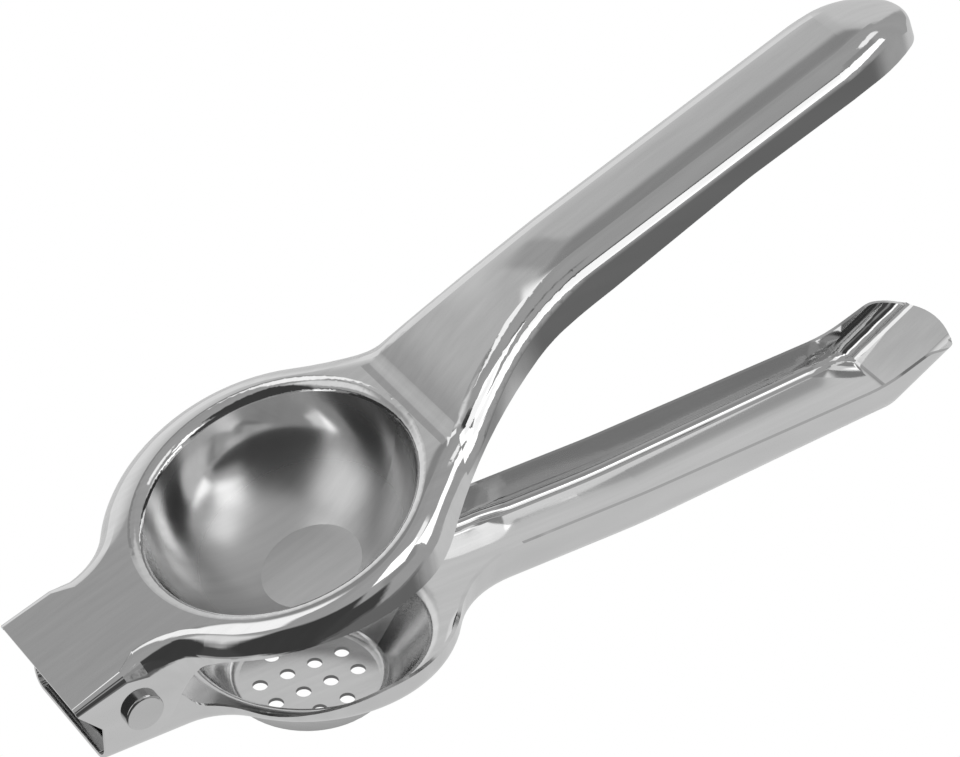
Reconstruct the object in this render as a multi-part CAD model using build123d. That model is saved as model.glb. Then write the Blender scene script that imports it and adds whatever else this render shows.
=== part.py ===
"""Hand lemon squeezer pressed from stainless sheet: two levers hinged on one rivet.

Each lever is drawn with the rivet axis as its origin, +X running from the hinge to the handles.
The finished part stands on the flat underside of the strainer bowl, which is the origin, with +Z up.
Lengths are in millimetres and angles in degrees.
"""
import os
from math import acos, atan2, cos, degrees, radians, sin, sqrt, tan

from build123d import *

# Sheet and hinge
SHEET = 0.8
HINGE_WIDTH = 31.8
HINGE_PLAY = 0.12
RIVET_DIAMETER = 5.0
RIVET_PLAY = 0.05
RIVET_HEAD_DIAMETER = 8.2
RIVET_HEAD_HEIGHT = 1.6
OPEN_ANGLE = 19.3

# Ring, throat and cup of the upper lever
RING_RADIUS = 36.7
THROAT_RADIUS = 12.55
UPPER_BEND = 4.4
RIM_LAND = 3.5
CUP_RIM_ROUND = 2.6
CUP_MOUTH_RADIUS = RING_RADIUS - UPPER_BEND - RIM_LAND
CUP_DEPTH = 0.787 * CUP_MOUTH_RADIUS
CUP_FLAT_RADIUS = 0.37 * CUP_MOUTH_RADIUS

# Places along the upper lever, measured from the rivet axis
THROAT_START = RIVET_HEAD_DIAMETER / 2 + 0.3
THROAT_RUN = sqrt((RING_RADIUS + THROAT_RADIUS) ** 2 - (HINGE_WIDTH / 2 + THROAT_RADIUS) ** 2)
RING_CENTRE = THROAT_START + THROAT_RUN
BOWL_REACH = RING_CENTRE + 1.6
RAMP_START = BOWL_REACH + CUP_MOUTH_RADIUS + 2.0
NECK_LENGTH = 44.9
GRIP_LENGTH = 85.5
GRIP_START = RAMP_START + NECK_LENGTH
NECK_END = GRIP_START - 3.0
UPPER_REACH = GRIP_START + GRIP_LENGTH

# Upper lever, heights above the rivet axis
UPPER_PLATE = 10.4
TONGUE_FRONT = 11.6
TONGUE_DROP = 0.5
TONGUE_BEND = 1.4
EAR_RADIUS = 7.8
GRIP_WIDTH = 21.0
RAMP_BEND = 9.0
GRIP_HEIGHT = 23.5
GRIP_SLOPE = 2.2
GRIP_FLANGE = 11.0
NOSE_SIDE_RADIUS = 40.0
NOSE_TIP_RADIUS = 6.5
NOSE_DROP_ANGLE = 42.0
NOSE_RADIUS = 24.0
NOSE_FLANGE = 13.0
UPPER_EDGE_EAR = 6.4
UPPER_EDGE_RING = 6.0
UPPER_EDGE_NECK = 0.4

# Strainer and ring of the lower lever
LOWER_RING_RADIUS = CUP_MOUTH_RADIUS + 2.7
LOWER_THROAT_RADIUS = 14.0
STRAINER_DEPTH = 26.0
STRAINER_FLAT_RADIUS = 0.5 * LOWER_RING_RADIUS
STRAINER_CORNER = 2.5
MOUTH_LEDGE = 2.2
MOUTH_ROUND = 3.5
HOLE_DIAMETER = 3.2
HOLE_PITCH = 6.5

# Lower lever, heights above the rivet axis
LOWER_FLOOR = -11.5
LOWER_FRONT = 8.0
LOWER_EAR_RADIUS = 6.5
LOWER_BEND = 3.6
HANDLE_WIDTH = 22.6
HANDLE_START = BOWL_REACH + LOWER_RING_RADIUS + 10.9
HANDLE_BEND_X = HANDLE_START + 33.3
HANDLE_SLOPE = 4.1
HANDLE_FLANGE = 9.5
TAIL_FLANGE = 7.4
FLANGE_DIP = -8.8
FLANGE_RING = -5.2
TAIL_CENTRE = UPPER_REACH - 17.3
TAIL_BEND = 5.2
TAIL_SLOPE = 31.4
TAIL_CREST_X = UPPER_REACH - 11.8
TAIL_CREST = 4.5
TAIL_TIP = UPPER_REACH - 2.2
TAIL_ROUND = 20.0

FAR = 400.0


def arc(centre, radius, start, end):
    """Circular edge about a centre, from one angle to another."""
    return CenterArc((centre[0], centre[1], 0), radius, start, end - start)


def mirrored(edges):
    """The edges and their images on the other side of the long axis."""
    return edges + [edge.mirror(Plane.XZ) for edge in edges]


def side_solid(edges, width=200.0):
    """Solid of a closed side view, drawn as X along and Y up, carried right across the part."""
    face = make_face(edges)
    return extrude(Plane.XZ * face, amount=width / 2, both=True)


def chain(points):
    """Straight edges through a list of points."""
    return [Line(a, b) for a, b in zip(points, points[1:])]


def upper_plan(inset):
    """Plan of the upper lever behind its hinge tongue, drawn in by the inset."""
    hinge = HINGE_WIDTH / 2 - inset
    ring = RING_RADIUS - inset
    grip = GRIP_WIDTH / 2 - inset
    throat = THROAT_RADIUS + inset
    throat_x = THROAT_START
    # The neck arc touches the ring and runs into the straight grip.
    reach = NECK_END - RING_CENTRE
    neck = (reach**2 + grip**2 - ring**2) / (2 * (ring - grip))
    to_throat = degrees(atan2(hinge + throat, throat_x - RING_CENTRE))
    to_neck = degrees(atan2(grip + neck, reach))
    # The nose tapers on two wide arcs into a small round tip.
    side = NOSE_SIDE_RADIUS - inset
    tip = NOSE_TIP_RADIUS - inset
    tip_x = UPPER_REACH - NOSE_TIP_RADIUS
    taper_x = tip_x - sqrt((side - tip) ** 2 - (side - grip) ** 2)
    to_tip = degrees(atan2(side - grip, tip_x - taper_x))
    half = [
        arc((throat_x, hinge + throat), throat, -90, to_throat - 180),
        arc((RING_CENTRE, 0), ring, to_throat, to_neck),
        arc((NECK_END, grip + neck), neck, to_neck - 180, -90),
        Line((NECK_END, grip), (taper_x, grip)),
        arc((taper_x, grip - side), side, 90, to_tip),
        arc((tip_x, 0), tip, to_tip, 0),
    ]
    return make_face(mirrored(half) + [Line((throat_x, -hinge), (throat_x, hinge))])


def ramp_angle():
    """Steepest slope of the neck, found so the neck ends level with the grip line."""
    low, high = GRIP_SLOPE, 80.0
    for _ in range(60):
        angle = (low + high) / 2
        run = GRIP_START - RAMP_START - RAMP_BEND * sin(radians(angle))
        rise = RAMP_BEND * (1 - cos(radians(angle))) + run * tan(radians((angle + GRIP_SLOPE) / 2))
        if rise < GRIP_HEIGHT - UPPER_PLATE:
            low = angle
        else:
            high = angle
    return angle


def upper_top(drop):
    """Edges of the upper lever's top line from its ring to its nose, lowered square to itself by the drop."""
    ramp = ramp_angle()
    bend = RAMP_BEND + drop
    foot = (RAMP_START, UPPER_PLATE + RAMP_BEND)
    run = GRIP_START - RAMP_START - RAMP_BEND * sin(radians(ramp))
    crown = run / (sin(radians(ramp)) - sin(radians(GRIP_SLOPE)))
    slope = radians(GRIP_SLOPE)
    crown_centre = (GRIP_START + crown * sin(slope), GRIP_HEIGHT - crown * cos(slope))
    crown -= drop
    crown_end = (crown_centre[0] - crown * sin(slope), crown_centre[1] + crown * cos(slope))
    nose_run = NOSE_RADIUS * (sin(radians(NOSE_DROP_ANGLE)) + sin(slope))
    grip_run = UPPER_REACH - GRIP_START - nose_run
    nose_centre = (GRIP_START + grip_run + NOSE_RADIUS * sin(slope),
                   GRIP_HEIGHT + grip_run * tan(slope) - NOSE_RADIUS * cos(slope))
    nose = NOSE_RADIUS - drop
    nose_start = (nose_centre[0] - nose * sin(slope), nose_centre[1] + nose * cos(slope))
    nose_end_angle = 90 - NOSE_DROP_ANGLE - 8
    nose_end = (nose_centre[0] + nose * cos(radians(nose_end_angle)),
                nose_centre[1] + nose * sin(radians(nose_end_angle)))
    start = (-FAR, UPPER_PLATE - drop)
    edges = [
        Line(start, (RAMP_START, UPPER_PLATE - drop)),
        arc(foot, bend, -90, ramp - 90),
        arc(crown_centre, crown, 90 + ramp, 90 + GRIP_SLOPE),
        Line(crown_end, nose_start),
        arc(nose_centre, nose, 90 + GRIP_SLOPE, nose_end_angle),
    ]
    return edges, start, nose_end


def under_top(drop):
    """Everything below the upper lever's top line."""
    edges, start, end = upper_top(drop)
    box = chain([end, (end[0], -60), (start[0], -60), start])
    return side_solid(edges + box)


def hinge_section(x, inset, bend):
    """Cross-section of the hinge tongue, which dips to its front: flat top, two bent corners, open below."""
    half = HINGE_WIDTH / 2 - inset
    drop = TONGUE_DROP * (THROAT_START - x) / (THROAT_START + TONGUE_FRONT)
    top = UPPER_PLATE - drop - inset
    radius = bend - inset
    edges = [
        Line((-half, -40), (-half, top - radius)),
        arc((-half + radius, top - radius), radius, 180, 90),
        Line((-half + radius, top), (half - radius, top)),
        arc((half - radius, top - radius), radius, 90, 0),
        Line((half, top - radius), (half, -40)),
        Line((half, -40), (-half, -40)),
    ]
    return Plane(origin=(x, 0, 0), x_dir=(0, 1, 0), z_dir=(1, 0, 0)) * make_face(edges)


def upper_block(inset):
    """Filled form of the upper lever, its top edges bent over, drawn in by the inset."""
    plan = Pos(0, 0, -40) * upper_plan(inset)
    body = extrude(plan, amount=140) & under_top(inset)
    top_edges = [e for e in body.edges()
                 if e.center().Z > UPPER_PLATE - inset - 0.5 and e.center().X > THROAT_START + 0.2]
    body = fillet(top_edges, UPPER_BEND - inset)
    sections = [hinge_section(-TONGUE_FRONT, inset, TONGUE_BEND), hinge_section(0, inset, TONGUE_BEND + 0.6),
                hinge_section(THROAT_START, inset, UPPER_BEND)]
    return body + loft(sections, ruled=True)


def tangent_point(radius, point, side):
    """Where a straight line from a point touches a circle about the rivet axis, on the given side."""
    angle = atan2(point[1], point[0]) + side * acos(radius / sqrt(point[0] ** 2 + point[1] ** 2))
    return radius * cos(angle), radius * sin(angle)


def upper_edge_solid():
    """Everything above the lower edge of the upper lever's flanges, ears included."""
    slope = tan(radians(GRIP_SLOPE))
    grip_edge = GRIP_HEIGHT - GRIP_FLANGE
    ring_start = (2 * EAR_RADIUS, UPPER_EDGE_EAR)
    ear_end = tangent_point(EAR_RADIUS, ring_start, -1)
    ear = arc((0, 0), EAR_RADIUS, 180, 360 + degrees(atan2(ear_end[1], ear_end[0])))
    nose_x = UPPER_REACH - 18
    nose_top = GRIP_HEIGHT + (UPPER_REACH - GRIP_START) * slope
    end = (UPPER_REACH + 2, nose_top - NOSE_FLANGE)
    sweep = FilletPolyline(
        ear_end,
        ring_start,
        (RING_CENTRE - 12, UPPER_EDGE_RING),
        (RING_CENTRE + 20, UPPER_EDGE_NECK),
        (GRIP_START - 15, grip_edge - 0.8),
        (GRIP_START + 2, grip_edge + 0.3),
        (GRIP_START + 37, grip_edge + 3.4),
        (nose_x, grip_edge + 4.1),
        end,
        radius=[8, 30, 30, 40, 60, 60, 30],
    )
    rest = [end, (end[0], 80), (-TONGUE_FRONT, 80), (-TONGUE_FRONT, UPPER_PLATE - TONGUE_DROP - TONGUE_BEND),
            (-EAR_RADIUS, 0)]
    return side_solid([ear] + sweep.edges() + chain(rest))


def cross_pin(diameter, length):
    """Round bar along the rivet axis."""
    return Rot(X=90) * Cylinder(diameter / 2, length)


def make_upper_lever():
    """Tongue, ears, ring, cup and grip pressed from one sheet."""
    shell = (upper_block(0) - upper_block(SHEET)) & upper_edge_solid()
    # The cup is part of a ball whose floor is flattened.
    rise = (CUP_MOUTH_RADIUS**2 - CUP_FLAT_RADIUS**2 + CUP_DEPTH**2) / (2 * CUP_DEPTH)
    ball = sqrt(CUP_FLAT_RADIUS**2 + rise**2)
    floor = UPPER_PLATE - CUP_DEPTH
    centre = Pos(BOWL_REACH, 0, floor + rise)
    slab = Box(4 * ball, 4 * ball, CUP_DEPTH, align=(Align.CENTER, Align.CENTER, Align.MIN))
    outside = (centre * Sphere(ball + SHEET)) & (Pos(BOWL_REACH, 0, floor - SHEET) * slab)
    inside = (centre * Sphere(ball)) & (Pos(BOWL_REACH, 0, floor) * slab)
    lever = shell + outside - inside
    mouth = Vector(BOWL_REACH, 0, UPPER_PLATE)
    rim = [e for e in lever.edges().filter_by(GeomType.CIRCLE) if (e.arc_center - mouth).length < 0.05]
    lever = fillet(rim, CUP_RIM_ROUND)
    return lever - cross_pin(RIVET_DIAMETER, 2 * HINGE_WIDTH)


def lower_plan(inset):
    """Plan of the lower lever's channel, drawn in by the inset."""
    hinge = HINGE_WIDTH / 2 - SHEET - HINGE_PLAY - inset
    core = LOWER_RING_RADIUS - inset
    handle = HANDLE_WIDTH / 2 - inset
    throat = LOWER_THROAT_RADIUS + inset
    throat_x = BOWL_REACH - sqrt((core + throat) ** 2 - (hinge + throat) ** 2)
    reach = HANDLE_START - BOWL_REACH
    neck = (reach**2 + handle**2 - core**2) / (2 * (core - handle))
    to_throat = degrees(atan2(hinge + throat, throat_x - BOWL_REACH))
    to_neck = degrees(atan2(handle + neck, reach))
    front = -LOWER_FRONT if inset == 0 else -LOWER_FRONT - 5
    end_x = TAIL_CENTRE - 1.4 * HANDLE_WIDTH
    half = [
        Line((front, hinge), (throat_x, hinge)),
        arc((throat_x, hinge + throat), throat, -90, to_throat - 180),
        arc((BOWL_REACH, 0), core, to_throat, to_neck),
        arc((HANDLE_START, handle + neck), neck, to_neck - 180, -90),
        Line((HANDLE_START, handle), (end_x, handle)),
    ]
    ends = [Line((end_x, -handle), (end_x, handle)), Line((front, -hinge), (front, hinge))]
    return make_face(mirrored(half) + ends)


def handle_floor(x):
    """Height of the lower lever's underside: level to the handle, then a gentle rise."""
    return LOWER_FLOOR + max(x - HANDLE_BEND_X, 0.0) * tan(radians(HANDLE_SLOPE))


def over_floor(lift):
    """Everything above the lower lever's floor line, raised by the lift."""
    floor = LOWER_FLOOR + lift
    end = (FAR, floor + (FAR - HANDLE_BEND_X) * tan(radians(HANDLE_SLOPE)))
    line = FilletPolyline((-60, floor), (HANDLE_BEND_X, floor), end, radius=180 - lift)
    return side_solid(line.edges() + chain([end, (end[0], 80), (-60, 80), (-60, floor)]))


def tail(inset):
    """Filled form of the tail: its end leans outwards like the end of a tray, with round bends to the flanges."""
    lean = radians(TAIL_SLOPE)
    half = HANDLE_WIDTH / 2 - inset
    bend = TAIL_BEND - inset
    bottom = -25.0
    top = 12.0
    centre = TAIL_CENTRE + bottom / tan(lean)
    start = centre - 3.5 * HANDLE_WIDTH
    # The bend is round across the leaning wall, so it is drawn as part of an ellipse in plan.
    end = centre + bend / sin(lean)
    side = [
        Line((start, half), (centre, half)),
        EllipticalCenterArc((centre, half - bend), bend / sin(lean), bend, arc_size=90),
    ]
    ends = [Line((end, half - bend), (end, bend - half)), Line((start, -half), (start, half))]
    face = Pos(0, 0, bottom) * make_face(mirrored(side) + ends)
    return extrude(face, amount=(top - bottom) / sin(lean), dir=(cos(lean), 0, sin(lean)))


def lower_block(inset):
    """Filled form of the lower lever's channel, its bottom edges bent, drawn in by the inset."""
    body = extrude(Pos(0, 0, -40) * lower_plan(inset), amount=120) + tail(inset)
    body = body & over_floor(inset)
    floor_edges = []
    for edge in body.edges():
        middle = edge @ 0.5
        across = abs(middle.Y) < 0.1
        if not across and middle.Z < handle_floor(middle.X) + inset + 0.5 and middle.X > -LOWER_FRONT + 0.5:
            floor_edges.append(edge)
    return fillet(floor_edges, LOWER_BEND - inset)


def strainer_angle():
    """Slope of the strainer wall, from its flat floor up to its mouth in the plate."""
    mouth = LOWER_RING_RADIUS - LOWER_BEND - MOUTH_LEDGE
    return atan2(LOWER_FLOOR + STRAINER_DEPTH, mouth - STRAINER_FLAT_RADIUS)


def strainer(inset):
    """Filled form of the strainer bowl, drawn in by the inset."""
    angle = strainer_angle()
    outset = SHEET - inset
    flat = STRAINER_FLAT_RADIUS + outset * tan(angle / 2)
    bottom = -STRAINER_DEPTH + inset
    top = LOWER_FLOOR + inset + 0.5
    wide = flat + (top - bottom) / tan(angle)
    points = [(0, bottom), (flat, bottom), (wide, top), (0, top), (0, bottom)]
    bowl = revolve(Plane.XZ * make_face(chain(points)), axis=Axis.Z, revolution_arc=360)
    bowl = fillet(bowl.edges().filter_by(GeomType.CIRCLE).sort_by(Axis.Z)[:1], STRAINER_CORNER + outset)
    return Pos(BOWL_REACH, 0, 0) * bowl


def lower_form(inset):
    """Filled form of the channel and its strainer, the mouth of the strainer rounded into the plate."""
    form = lower_block(inset) + strainer(inset)
    mouth = Vector(BOWL_REACH, 0, LOWER_FLOOR + inset)
    rim = [e for e in form.edges().filter_by(GeomType.CIRCLE) if (e.arc_center - mouth).length < 0.05]
    radius = min(MOUTH_ROUND, 0.9 * MOUTH_LEDGE / tan(strainer_angle() / 2))
    return fillet(rim, radius - SHEET + inset)


def lower_edge_solid():
    """Everything below the upper edge of the lower lever's flanges, ears included."""
    handle_top = LOWER_FLOOR + HANDLE_FLANGE
    tail_x = TAIL_CREST_X - 11.5
    end = (TAIL_TIP + 4, TAIL_CREST + 10)
    front_angle = 140.0
    ear_front = (-LOWER_FRONT, -2.0)
    ear_start = (LOWER_EAR_RADIUS * cos(radians(front_angle)), LOWER_EAR_RADIUS * sin(radians(front_angle)))
    dip = (2 * LOWER_EAR_RADIUS, 0.7 * FLANGE_DIP)
    ear_end = tangent_point(LOWER_EAR_RADIUS, dip, 1)
    ear = arc((0, 0), LOWER_EAR_RADIUS, front_angle, degrees(atan2(ear_end[1], ear_end[0])))
    sweep = FilletPolyline(
        ear_end,
        dip,
        (BOWL_REACH - 0.7 * LOWER_RING_RADIUS, FLANGE_DIP),
        (BOWL_REACH, FLANGE_RING),
        (BOWL_REACH + 0.64 * LOWER_RING_RADIUS, FLANGE_RING),
        (HANDLE_START, handle_top),
        (HANDLE_BEND_X, handle_top),
        (tail_x, handle_floor(tail_x) + TAIL_FLANGE),
        (TAIL_CREST_X, TAIL_CREST),
        (TAIL_TIP - 1.9, TAIL_CREST - 1.6),
        end,
        radius=[6, 15, 25, 40, 40, 180, 30, 5, 1],
    )
    box = [end, (end[0], -60), (-LOWER_FRONT - 2, -60), (-LOWER_FRONT - 2, -2.0), ear_front, ear_start]
    return side_solid([ear] + sweep.edges() + chain(box))


def tail_waste():
    """What is cut off round the end of the tail's lip, seen from above."""
    wide = 2 * HANDLE_WIDTH
    middle = TAIL_TIP - TAIL_ROUND
    block = Pos(middle + wide, 0, 0) * Box(2 * wide, 2 * wide, 2 * wide)
    return block - Pos(middle, 0, 0) * Cylinder(TAIL_ROUND, 3 * wide)


def make_lower_lever():
    """Hinge channel, strainer bowl and trough handle pressed from one sheet."""
    lever = (lower_form(0) - lower_form(SHEET)) & lower_edge_solid()
    lever -= tail_waste()
    hole = Pos(BOWL_REACH, 0, -STRAINER_DEPTH) * Cylinder(HOLE_DIAMETER / 2, 6 * SHEET)
    for row in (-1.5, -0.5, 0.5, 1.5):
        for column in (-1.5, -0.5, 0.5, 1.5):
            if abs(row) + abs(column) < 3:
                lever -= Pos(row * HOLE_PITCH, column * HOLE_PITCH, 0) * hole
    return lever - cross_pin(RIVET_DIAMETER + 2 * RIVET_PLAY, 2 * HINGE_WIDTH)


def make_hinge_rivet():
    """Pin through all four ears with a low round head on each side."""
    half = HINGE_WIDTH / 2
    shank = RIVET_DIAMETER / 2
    head = RIVET_HEAD_DIAMETER / 2
    end = half + RIVET_HEAD_HEIGHT
    points = [(0, -end), (head, -end), (head, -half), (shank, -half), (shank, half), (head, half), (head, end),
              (0, end), (0, -end)]
    pin = revolve(Plane.XZ * make_face(chain(points)), axis=Axis.Z, revolution_arc=360)
    faces = pin.edges().filter_by(GeomType.CIRCLE).sort_by(Axis.Z)
    pin = fillet([faces[0], faces[-1]], 0.5)
    return Rot(X=90) * pin


def main():
    hinge = Pos(-BOWL_REACH, 0, STRAINER_DEPTH)
    lifted = hinge * Rot(Y=-OPEN_ANGLE)
    parts = {
        "lower_lever": hinge * make_lower_lever(),
        "upper_lever": lifted * make_upper_lever(),
        "hinge_rivet": lifted * make_hinge_rivet(),
    }
    os.makedirs("parts", exist_ok=True)
    for name, shape in parts.items():
        shape.label = name
        export_step(shape, f"parts/{name}.step")


main()
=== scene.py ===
# %% [markdown]
# # Lemon squeezer in polished sheet steel
# The squeezer is two levers pressed from stainless sheet and joined by one rivet.
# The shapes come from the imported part, which is loaded here as a fixed frame in metres.
# Polished steel has almost no colour of its own, so most of this lesson is about what the steel mirrors.

# %% Load the frame
import math

import bpy
from mathutils import Matrix, Vector

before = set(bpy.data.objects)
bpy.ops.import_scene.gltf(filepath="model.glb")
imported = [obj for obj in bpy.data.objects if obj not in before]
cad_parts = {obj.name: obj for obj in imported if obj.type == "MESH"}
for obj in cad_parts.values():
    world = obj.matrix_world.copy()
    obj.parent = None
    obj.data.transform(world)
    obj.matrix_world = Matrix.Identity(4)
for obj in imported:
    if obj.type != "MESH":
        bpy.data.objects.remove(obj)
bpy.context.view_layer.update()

# %% [markdown]
# ## Two small helpers
# Colours are written as sRGB hex values, the way a paint chart gives them, and the shader needs linear values.
# Materials could be wired by hand in the shader editor. A script gives the same result each time it runs.
# One function adds a node with its settings and links, so each material below reads as a short list.

# %% Colour and node helpers
MM = 0.001
# The Mix node has sockets of the same name for numbers and colours, so its colour sockets go by number.
MIX_A, MIX_B, MIX_OUT = 6, 7, 2


def linear(hex_colour):
    """Linear RGBA of an sRGB hex colour."""
    parts = [int(hex_colour[i:i + 2], 16) / 255 for i in (1, 3, 5)]
    return [c / 12.92 if c <= 0.04045 else ((c + 0.055) / 1.055) ** 2.4 for c in parts] + [1.0]


def add(tree, kind, inputs=None, **settings):
    """A node of the given kind, its settings set and each input given a value or a link."""
    node = tree.nodes.new(kind)
    for name, value in settings.items():
        setattr(node, name, value)
    for key, value in (inputs or {}).items():
        if isinstance(value, bpy.types.NodeSocket):
            tree.links.new(value, node.inputs[key])
        else:
            node.inputs[key].default_value = value
    return node


print("mid grey #808080 is", [round(c, 3) for c in linear("#808080")])

# %% [markdown]
# ## Polished stainless steel
# The levers are pressed from stainless sheet and polished on soft wheels until they mirror the room.
# A plain metal shader would look like flawless chrome, and real sheet is never so even.
# So noise bends the reflections in broad, shallow waves, draws faint wheel marks and varies the haze.
# The waves are about 0.2 mm high at most. A bump is enough for that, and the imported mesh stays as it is.

# %% Polished stainless steel
# The eye sees neutral greys, a little darker on the rivet than on the sheet.
SHEET_GREYS = ("#CDCDCD", "#DFDFDF")
RIVET_GREYS = ("#BFBFBF", "#D3D3D3")
SHEET_ROUGHNESS, RIVET_ROUGHNESS = 0.06, 0.10
SHEET_WAVE, RIVET_WAVE = 0.025 * MM, 0.02 * MM
WAVE_SIZE, SLOW_SIZE, SMEAR_SIZE = 16 * MM, 45 * MM, 40 * MM
SLOW_TO_WAVE = 8
HAZE_LEAST, HAZE_MOST = 0.7, 1.4
# Real wheel marks are finer than a pixel. They are drawn 28 mm long and 1.6 mm wide so that they show.
MARK_STRETCH = [1 / (length * MM) for length in (28, 1.6, 6)]


def polished_steel(name, greys, roughness, wave_height):
    """Mirror-bright steel with faint wheel marks, a slow haze and shallow waves."""
    material = bpy.data.materials.new(name)
    material.use_nodes = True
    tree = material.node_tree
    shader = tree.nodes["Principled BSDF"]
    shader.inputs["Metallic"].default_value = 1.0
    place = add(tree, "ShaderNodeTexCoord", name="place").outputs["Object"]
    drawn = add(tree, "ShaderNodeVectorMath", {0: place, 1: MARK_STRETCH}, operation="MULTIPLY")
    marks = add(tree, "ShaderNodeTexNoise", {"Vector": drawn.outputs["Vector"], "Scale": 1.0, "Detail": 3.0})
    grey = add(tree, "ShaderNodeMix", {"Factor": marks.outputs["Fac"], MIX_A: linear(greys[0]),
                                       MIX_B: linear(greys[1])}, data_type="RGBA")
    tree.links.new(grey.outputs[MIX_OUT], shader.inputs["Base Color"])
    waves = add(tree, "ShaderNodeTexNoise", {"Vector": place, "Scale": 1 / WAVE_SIZE, "Detail": 1.0})
    height = add(tree, "ShaderNodeMath", {0: waves.outputs["Fac"], 1: wave_height}, operation="MULTIPLY")
    slow = add(tree, "ShaderNodeTexNoise", {"Vector": place, "Scale": 1 / SLOW_SIZE, "Detail": 0.0})
    height = add(tree, "ShaderNodeMath", {0: slow.outputs["Fac"], 1: SLOW_TO_WAVE * wave_height,
                                          2: height.outputs["Value"]}, operation="MULTIPLY_ADD")
    bump = add(tree, "ShaderNodeBump", {"Height": height.outputs["Value"], "Distance": 1.0, "Strength": 1.0},
               name="bump")
    smear = add(tree, "ShaderNodeTexNoise", {"Vector": place, "Scale": 1 / SMEAR_SIZE, "Detail": 3.0})
    haze = add(tree, "ShaderNodeMapRange", {"Value": smear.outputs["Fac"], "To Min": roughness * HAZE_LEAST,
                                            "To Max": roughness * HAZE_MOST})
    tree.links.new(haze.outputs["Result"], shader.inputs["Roughness"])
    tree.links.new(bump.outputs["Normal"], shader.inputs["Normal"])
    return material


print("wheel marks along, across and up, per metre:", [round(v) for v in MARK_STRETCH])

# %% [markdown]
# ## Steel on each piece
# Both levers are the same sheet, and the rivet is turned from bar and polished a little less.
# One material could serve both levers. They get one each, because their faces are finished further below.

# %% Steel on each piece
upper_steel = polished_steel("polished stainless upper sheet", SHEET_GREYS, SHEET_ROUGHNESS, SHEET_WAVE)
lower_steel = polished_steel("polished stainless lower sheet", SHEET_GREYS, SHEET_ROUGHNESS, SHEET_WAVE)
rivet_steel = polished_steel("polished stainless rivet", RIVET_GREYS, RIVET_ROUGHNESS, RIVET_WAVE)
steels = {"upper_lever": upper_steel, "lower_lever": lower_steel, "hinge_rivet": rivet_steel}
for node, material in steels.items():
    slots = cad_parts[node].data.materials
    slots.clear()
    slots.append(material)
    print(node, "is", material.name)

# %% [markdown]
# ## Pressed faces are never quite flat
# Sheet springs back after pressing: the grip's top stays a little crowned, the handle's floor a little dished.
# The bow is about half a millimetre over the flat of each face and one to three millimetres at its bent sides.
# It could be modelled in the sheet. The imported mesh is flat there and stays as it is, so the bow goes into
# the bump, where it turns the reflections only. It is a parabola across the width, faded along the lever.

# %% Crown of the grip and dish of the handle
GRIP_CROWN, GRIP_FROM, GRIP_FULL = 64 * MM, 35 * MM, 60 * MM
HANDLE_DISH, HANDLE_FROM, HANDLE_FULL = -40 * MM, 45 * MM, 55 * MM
HANDLE_FADE, HANDLE_END = 132 * MM, 142 * MM


def lay_on(material, height):
    """Add one more height in metres to the bump of a steel."""
    tree = material.node_tree
    old = tree.nodes["bump"].inputs["Height"].links[0].from_socket
    total = add(tree, "ShaderNodeMath", {0: old, 1: height}, operation="ADD")
    tree.links.new(total.outputs["Value"], tree.nodes["bump"].inputs["Height"])


def bow(material, radius, start, full, fade=None, end=None):
    """Bow a face across its width; a radius below zero makes a dish."""
    tree = material.node_tree
    at = add(tree, "ShaderNodeSeparateXYZ", {"Vector": tree.nodes["place"].outputs["Object"]})
    square = add(tree, "ShaderNodeMath", {0: at.outputs["Y"], 1: at.outputs["Y"]}, operation="MULTIPLY")
    run = add(tree, "ShaderNodeMapRange", {"Value": at.outputs["X"], "From Min": start, "From Max": full,
                                           "To Max": -0.5 / radius}, interpolation_type="SMOOTHSTEP")
    height = add(tree, "ShaderNodeMath", {0: square.outputs["Value"], 1: run.outputs["Result"]},
                 operation="MULTIPLY")
    if end:
        stop = add(tree, "ShaderNodeMapRange", {"Value": at.outputs["X"], "From Min": end, "From Max": fade},
                   interpolation_type="SMOOTHSTEP")
        height = add(tree, "ShaderNodeMath", {0: height.outputs["Value"], 1: stop.outputs["Result"]},
                     operation="MULTIPLY")
    lay_on(material, height.outputs["Value"])


bow(upper_steel, GRIP_CROWN, GRIP_FROM, GRIP_FULL)
bow(lower_steel, HANDLE_DISH, HANDLE_FROM, HANDLE_FULL, HANDLE_FADE, HANDLE_END)
print("bow radius in mm: grip", round(GRIP_CROWN / MM), "handle", round(HANDLE_DISH / MM))

# %% [markdown]
# ## The ring's rolled edge
# The flat land round the cup rolls over gently before the sheet turns down, which gives the bright line.
# The height falls with the square of the distance from the cup's rim, by about a millimetre at the edge,
# and only at the two free sides of the ring. Like the bow, it is laid on the bump.

# %% Rolled edge of the ring
CUP_MOUTH = Vector((-6.04, 0, 51.1)) * MM
LEVER_WAY = Vector((0.9438, 0, 0.3305))
ROLL_START, ROLL_WIDTH, ROLL_RADIUS = 29.5 * MM, 8.5 * MM, 24 * MM
FREE_FROM, FREE_FULL = 14 * MM, 23 * MM
tree = upper_steel.node_tree
place = tree.nodes["place"].outputs["Object"]
from_cup = add(tree, "ShaderNodeVectorMath", {0: place, 1: CUP_MOUTH}, operation="SUBTRACT")
along = add(tree, "ShaderNodeVectorMath", {0: from_cup.outputs["Vector"], 1: LEVER_WAY},
            operation="DOT_PRODUCT")
at = add(tree, "ShaderNodeSeparateXYZ", {"Vector": place})
flat = add(tree, "ShaderNodeCombineXYZ", {"X": along.outputs["Value"], "Y": at.outputs["Y"]})
radius = add(tree, "ShaderNodeVectorMath", {0: flat.outputs["Vector"]}, operation="LENGTH")
beyond = add(tree, "ShaderNodeMapRange", {"Value": radius.outputs["Value"], "From Min": ROLL_START,
                                          "From Max": ROLL_START + ROLL_WIDTH, "To Max": ROLL_WIDTH})
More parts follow.
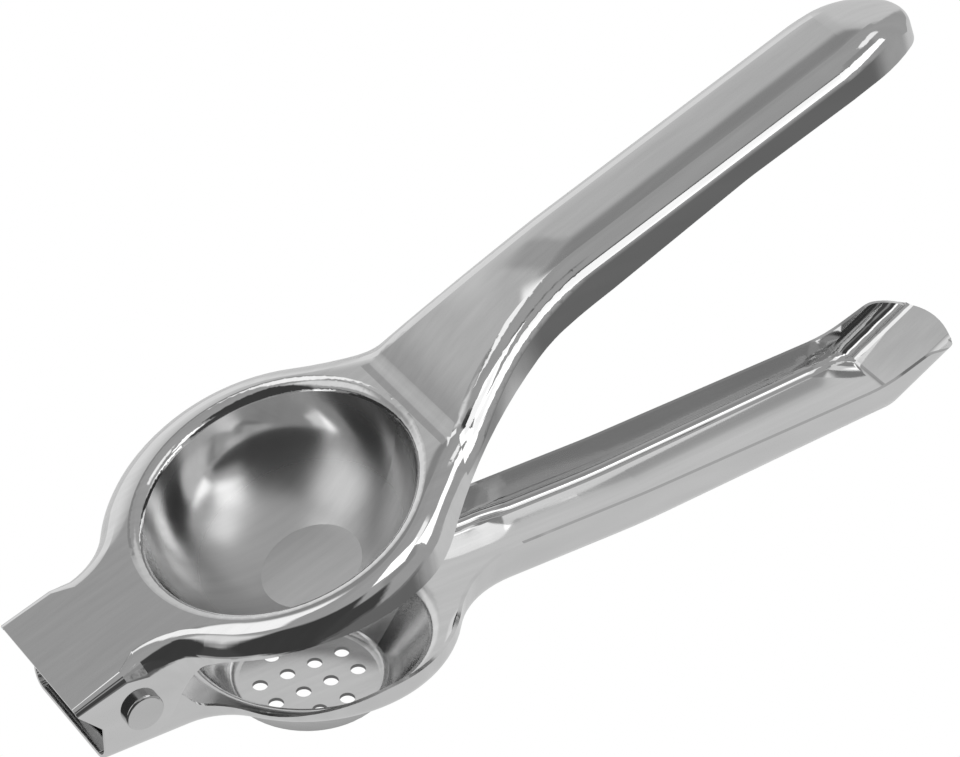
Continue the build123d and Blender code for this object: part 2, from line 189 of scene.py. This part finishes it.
side = add(tree, "ShaderNodeMath", {0: at.outputs["Y"]}, operation="ABSOLUTE")
free = add(tree, "ShaderNodeMapRange", {"Value": side.outputs["Value"], "From Min": FREE_FROM,
                                        "From Max": FREE_FULL, "To Max": -0.5 / ROLL_RADIUS},
           interpolation_type="SMOOTHSTEP")
square = add(tree, "ShaderNodeMath", {0: beyond.outputs["Result"], 1: beyond.outputs["Result"]},
             operation="MULTIPLY")
roll = add(tree, "ShaderNodeMath", {0: square.outputs["Value"], 1: free.outputs["Result"]},
           operation="MULTIPLY")
lay_on(upper_steel, roll.outputs["Value"])
print("rolled edge from", round(ROLL_START / MM, 1), "mm round the cup,", round(ROLL_WIDTH / MM, 1), "mm wide")

# %% [markdown]
# ## A softer polish inside the cup and the strainer
# A polishing wheel can't follow the inside of a deep bowl, so both bowls keep a soft, satin shine there.
# A mask could be painted for this. A distance needs no image and stays with the lever when it swings.
# The haze is full close to a point inside the bowl and clears with the distance from it, towards the rim.

# %% Haze inside the bowls
CUP_BOTTOM, CUP_CLEAR, CUP_FULL, CUP_HAZE = Vector((1.5, 0, 29.8)) * MM, 33 * MM, 20 * MM, 0.30
BOWL_MIDDLE, BOWL_CLEAR, BOWL_FULL, BOWL_HAZE = Vector((0, 0, 10)) * MM, 31 * MM, 26 * MM, 0.16


def satin(material, middle, clear, full, roughness):
    """Roughen a steel round a middle point: fully up to one distance, and not beyond the other."""
    tree = material.node_tree
    shader = tree.nodes["Principled BSDF"]
    gap = add(tree, "ShaderNodeVectorMath", {0: tree.nodes["place"].outputs["Object"], 1: middle},
              operation="DISTANCE")
    inside = add(tree, "ShaderNodeMapRange", {"Value": gap.outputs["Value"], "From Min": clear,
                                              "From Max": full}, interpolation_type="SMOOTHSTEP")
    haze = shader.inputs["Roughness"].links[0].from_socket
    mixed = add(tree, "ShaderNodeMix", {"Factor": inside.outputs["Result"], "A": haze, "B": roughness})
    tree.links.new(mixed.outputs["Result"], shader.inputs["Roughness"])


satin(upper_steel, CUP_BOTTOM, CUP_CLEAR, CUP_FULL, CUP_HAZE)
satin(lower_steel, BOWL_MIDDLE, BOWL_CLEAR, BOWL_FULL, BOWL_HAZE)
print("roughness in the cup", CUP_HAZE, "and in the strainer", BOWL_HAZE)

# %% [markdown]
# ## The sheared edge of the handle
# The sheet is cut before it is bent, and the cut edge stays darker than the polished faces.
# It could have a material slot of its own. Picking it by place keeps one material for the whole sheet.
# It is what faces up at the very sides of the handle.

# %% Sheared edge
EDGE_COLOUR = "#B2B2B2"
EDGE_SIDE = 10.3 * MM
FACES_UP = 0.8
tree = lower_steel.node_tree
shader = tree.nodes["Principled BSDF"]
at = add(tree, "ShaderNodeSeparateXYZ", {"Vector": tree.nodes["place"].outputs["Object"]})
side = add(tree, "ShaderNodeMath", {0: at.outputs["Y"]}, operation="ABSOLUTE")
outer = add(tree, "ShaderNodeMath", {0: side.outputs["Value"], 1: EDGE_SIDE}, operation="GREATER_THAN")
handle = add(tree, "ShaderNodeMath", {0: at.outputs["X"], 1: HANDLE_FROM}, operation="GREATER_THAN")
surface = add(tree, "ShaderNodeNewGeometry")
facing = add(tree, "ShaderNodeSeparateXYZ", {"Vector": surface.outputs["True Normal"]})
upward = add(tree, "ShaderNodeMath", {0: facing.outputs["Z"], 1: FACES_UP}, operation="GREATER_THAN")
rim = add(tree, "ShaderNodeMath", {0: outer.outputs["Value"], 1: handle.outputs["Value"]}, operation="MULTIPLY")
cut = add(tree, "ShaderNodeMath", {0: rim.outputs["Value"], 1: upward.outputs["Value"]}, operation="MULTIPLY")
faces = shader.inputs["Base Color"].links[0].from_socket
colour = add(tree, "ShaderNodeMix", {"Factor": cut.outputs["Value"], MIX_A: faces,
                                     MIX_B: linear(EDGE_COLOUR)}, data_type="RGBA")
tree.links.new(colour.outputs[MIX_OUT], shader.inputs["Base Color"])
print("sheared edge is", EDGE_COLOUR)

# %% [markdown]
# ## How bright the paper is in the steel
# The squeezer stands on white paper. In the steel only the paper close to the squeezer shows.
# It fades out at an edge in front and on the left, and beyond that the steel mirrors the studio itself.
# Right under the strainer the paper lies in shade, which the walls of the juice holes show.
# Real shadows could do this, but the paper has to stay white for the camera, so the level is set by place.

# %% Paper levels
PAPER_EDGE, PAPER_LEFT, PAPER_FADE = -55 * MM, -60 * MM, 12 * MM
PAPER_LEVEL = 0.72
SHADE_LEVEL, SHADE_CORE, SHADE_END = 0.18, 9 * MM, 26 * MM
paper = bpy.data.materials.new("white paper")
paper.use_nodes = True
tree = paper.node_tree
tree.nodes.clear()
surface = add(tree, "ShaderNodeNewGeometry")
spot = add(tree, "ShaderNodeSeparateXYZ", {"Vector": surface.outputs["Position"]})
front = add(tree, "ShaderNodeMapRange", {"Value": spot.outputs["Y"], "From Min": PAPER_EDGE - PAPER_FADE,
                                         "From Max": PAPER_EDGE})
left = add(tree, "ShaderNodeMapRange", {"Value": spot.outputs["X"], "From Min": PAPER_LEFT - PAPER_FADE,
                                        "From Max": PAPER_LEFT})
near = add(tree, "ShaderNodeMath", {0: front.outputs["Result"], 1: left.outputs["Result"]}, operation="MINIMUM")
far = add(tree, "ShaderNodeVectorMath", {0: surface.outputs["Position"]}, operation="LENGTH")
shade = add(tree, "ShaderNodeMapRange", {"Value": far.outputs["Value"], "From Min": SHADE_CORE,
                                         "From Max": SHADE_END, "To Min": SHADE_LEVEL, "To Max": PAPER_LEVEL},
            interpolation_type="SMOOTHSTEP")
print("paper level", PAPER_LEVEL, "and in the shade", SHADE_LEVEL)

# %% [markdown]
# ## What the camera and the steel see of the paper
# More light could bleach a grey floor to white, but it would bleach the steel too.
# So the material asks which kind of ray arrives. The camera gets pure white, the steel the level above,
# and all other light meets plain matt white.

# %% White paper floor
WHITE, MATT_WHITE = linear("#FFFFFF"), linear("#E8E8E8")
FLOOR_SIZE, FLOOR_MIDDLE, FLOOR_DROP = 6.0, 50 * MM, 0.2 * MM
bpy.ops.mesh.primitive_plane_add(size=FLOOR_SIZE, location=(FLOOR_MIDDLE, 0, -FLOOR_DROP))
floor = bpy.context.object
floor.name = "floor"
ray = add(tree, "ShaderNodeLightPath")
clear = add(tree, "ShaderNodeBsdfTransparent")
soft = add(tree, "ShaderNodeEmission", {"Color": WHITE, "Strength": shade.outputs["Result"]})
white = add(tree, "ShaderNodeEmission", {"Color": WHITE, "Strength": 1.0})
matt = add(tree, "ShaderNodeBsdfDiffuse", {"Color": MATT_WHITE})
mirrored = add(tree, "ShaderNodeMixShader", {0: near.outputs["Value"], 1: clear.outputs["BSDF"],
                                             2: soft.outputs["Emission"]})
lit = add(tree, "ShaderNodeMixShader", {0: ray.outputs["Is Glossy Ray"], 1: matt.outputs["BSDF"],
                                        2: mirrored.outputs["Shader"]})
seen = add(tree, "ShaderNodeMixShader", {0: ray.outputs["Is Camera Ray"], 1: lit.outputs["Shader"],
                                         2: white.outputs["Emission"]})
add(tree, "ShaderNodeOutputMaterial", {"Surface": seen.outputs["Shader"]})
floor.data.materials.append(paper)
print("floor", [round(v, 2) for v in floor.dimensions])

# %% [markdown]
# ## The studio that the steel mirrors
# Polished steel looks like whatever stands round it, so the studio is laid out as panels in a grey room.
# A picture of a studio could be wrapped round the scene. Panels need no image, and each moves by itself.
# Each panel has a direction, a half width and half height in degrees, a soft edge and a level.
# Later panels are laid over earlier ones. The dark panels stand for the unlit side where the camera is.

# %% Studio panels
ROOM_LEVEL = 0.45
PANELS = [  # name, azimuth, elevation, half width, half height, edge, level
    ("grey ceiling at the back", 110, 66, 40, 16, 6, 0.43),
    ("grey cornice", 105, 55, 30, 4, 2, 0.32),
    ("back wall", 85, 10, 48, 41.2, 1.5, 0.60),
    ("foot of the back wall", 90, 0, 30, 35, 7, 0.95),
    ("shaded corner of the back wall", 104, 46, 4.5, 6, 1.5, 0.44),
    ("bright back wall on the right", 52, 14, 22, 34.7, 6, 0.74),
    ("grey back wall on the left", 136, 12, 10, 10, 6, 0.40),
    ("pale wall on the left", 172, 24, 20, 18, 6, 0.95),
    ("window high on the left", 141, 56, 16.5, 7, 1.2, 1.30),
    ("unlit camera side", -129, -2, 33, 50, 4, 0.06),
    ("dark table on the left", -178, -46, 22, 32, 4, 0.08),
    ("unlit front", -87, -10, 17, 32, 4, 0.07),
    ("dark table in front", -58, -50, 25, 27, 6, 0.18),
    ("lamp over the right front", -43, 54, 12, 9, 2, 1.25),
    ("grey screen under that lamp", -62, 34, 14, 11, 3, 0.35),
]
print("studio panels:", len(PANELS))

# %% [markdown]
# ## The panels as world nodes
# The world's shader is asked for the light from one direction at a time.
# For each panel that direction is turned until the panel lies straight ahead.
# Two soft steps, across and up, then tell how much of it the panel covers.
# The camera itself sees plain white behind the squeezer.

# %% World
world = bpy.data.worlds.new("studio")
bpy.context.scene.world = world
world.use_nodes = True
tree = world.node_tree
tree.nodes.clear()
place = add(tree, "ShaderNodeTexCoord")
level = ROOM_LEVEL
for name, azimuth, elevation, half_width, half_height, edge, brightness in PANELS:
    turned = [math.radians(v) for v in (0, -elevation, azimuth)]
    local = add(tree, "ShaderNodeVectorRotate", {"Vector": place.outputs["Generated"], "Rotation": turned},
                rotation_type="EULER_XYZ", invert=True, label=name)
    way = add(tree, "ShaderNodeSeparateXYZ", {"Vector": local.outputs["Vector"]})
    across = add(tree, "ShaderNodeMath", {0: way.outputs["Y"], 1: way.outputs["X"]}, operation="ARCTAN2")
    upward = add(tree, "ShaderNodeMath", {0: way.outputs["Z"]}, operation="ARCSINE")
    cover = 1.0
    for angle, half in ((across, half_width), (upward, half_height)):
        size = add(tree, "ShaderNodeMath", {0: angle.outputs["Value"]}, operation="ABSOLUTE")
        inside = add(tree, "ShaderNodeMapRange",
                     {"Value": size.outputs["Value"], "From Min": math.radians(half + edge),
                      "From Max": math.radians(half - edge)}, interpolation_type="SMOOTHSTEP")
        part = add(tree, "ShaderNodeMath", {0: inside.outputs["Result"], 1: cover}, operation="MULTIPLY")
        cover = part.outputs["Value"]
    level = add(tree, "ShaderNodeMix", {"Factor": cover, "A": level, "B": brightness}).outputs["Result"]
light = add(tree, "ShaderNodeBackground", {"Color": WHITE, "Strength": level})
back = add(tree, "ShaderNodeBackground", {"Color": WHITE, "Strength": 1.0})
ray = add(tree, "ShaderNodeLightPath")
both = add(tree, "ShaderNodeMixShader", {0: ray.outputs["Is Camera Ray"], 1: light.outputs["Background"],
                                         2: back.outputs["Background"]})
add(tree, "ShaderNodeOutputWorld", {"Surface": both.outputs["Shader"]})
print("world nodes:", len(tree.nodes))

# %% [markdown]
# ## Small lamps close to the squeezer
# A strip lamp stands close in front of the grip and leans with it. It draws the line along the grip's bend.
# A small card lamp at the right front of the ring lights up the bend where the ring runs into the neck.
# They could be panels too, but a far strip would show in the cup as well. A lamp this near shows in the
# steel beside it. The camera itself doesn't see the lamps.

# %% Small lamps
CARD_LEVEL = 1.3
CARDS = [  # name, place and spot it faces in mm, width, height, lean in degrees
    ("strip lamp along the grip", (110, -52, 102), (110, 0, 102), 170, 27, 21.5),
    ("card lamp over the neck", (18, -62, 110), (36, -20, 62), 44, 36, 0),
]
for name, stands, faces, width, height, lean in CARDS:
    card = bpy.data.lights.new(name, "AREA")
    card.shape = "RECTANGLE"
    card.size, card.size_y = width * MM, height * MM
    card.energy = CARD_LEVEL * math.pi * card.size * card.size_y
    lamp = bpy.data.objects.new(name, card)
    bpy.context.scene.collection.objects.link(lamp)
    facing = (Vector(faces) - Vector(stands)).to_track_quat("-Z", "Y").to_matrix().to_4x4()
    leaning = Matrix.Rotation(math.radians(lean), 4, "Z")
    lamp.matrix_world = Matrix.Translation(Vector(stands) * MM) @ facing @ leaning
    lamp.visible_camera = False
    print(name, "of", round(card.energy * 1000, 1), "mW")

# %% [markdown]
# ## The camera
# A long lens looks down on the squeezer from the front left, so the levers keep nearly their true proportions.
# Its place could be set by eye. It was fitted to the outlines in the photograph, which is more exact.
# The picture is shifted on the sensor until the squeezer fills it from corner to corner.

# %% Camera
AIM = Vector((33.8, 0.0, 26.0)) * MM
AZIMUTH, ELEVATION, ROLL = math.radians(-32.09), math.radians(38.77), math.radians(-0.42)
DISTANCE, NEAREST = 791.36 * MM, 50 * MM
FOCAL_LENGTH, SENSOR_WIDTH = 145.1, 36.0  # mm
SHIFT_RIGHT, SHIFT_UP = 0.0335, 0.153
toward = Vector((math.sin(AZIMUTH) * math.cos(ELEVATION), -math.cos(AZIMUTH) * math.cos(ELEVATION),
                 math.sin(ELEVATION)))
lens = bpy.data.cameras.new("camera")
lens.lens = FOCAL_LENGTH
lens.sensor_width = SENSOR_WIDTH
lens.sensor_fit = "HORIZONTAL"
lens.shift_x = SHIFT_RIGHT
lens.shift_y = SHIFT_UP
lens.clip_start = NEAREST
camera = bpy.data.objects.new("camera", lens)
bpy.context.scene.collection.objects.link(camera)
turn = toward.to_track_quat("Z", "Y").to_matrix() @ Matrix.Rotation(ROLL, 3, "Z")
camera.matrix_world = Matrix.Translation(AIM + toward * DISTANCE) @ turn.to_4x4()
bpy.context.scene.camera = camera
bpy.context.scene.view_settings.view_transform = "Standard"
print("camera at", [round(v, 3) for v in camera.location])

# %% [markdown]
# ## Finish

# %% Finish
print("scene set up")
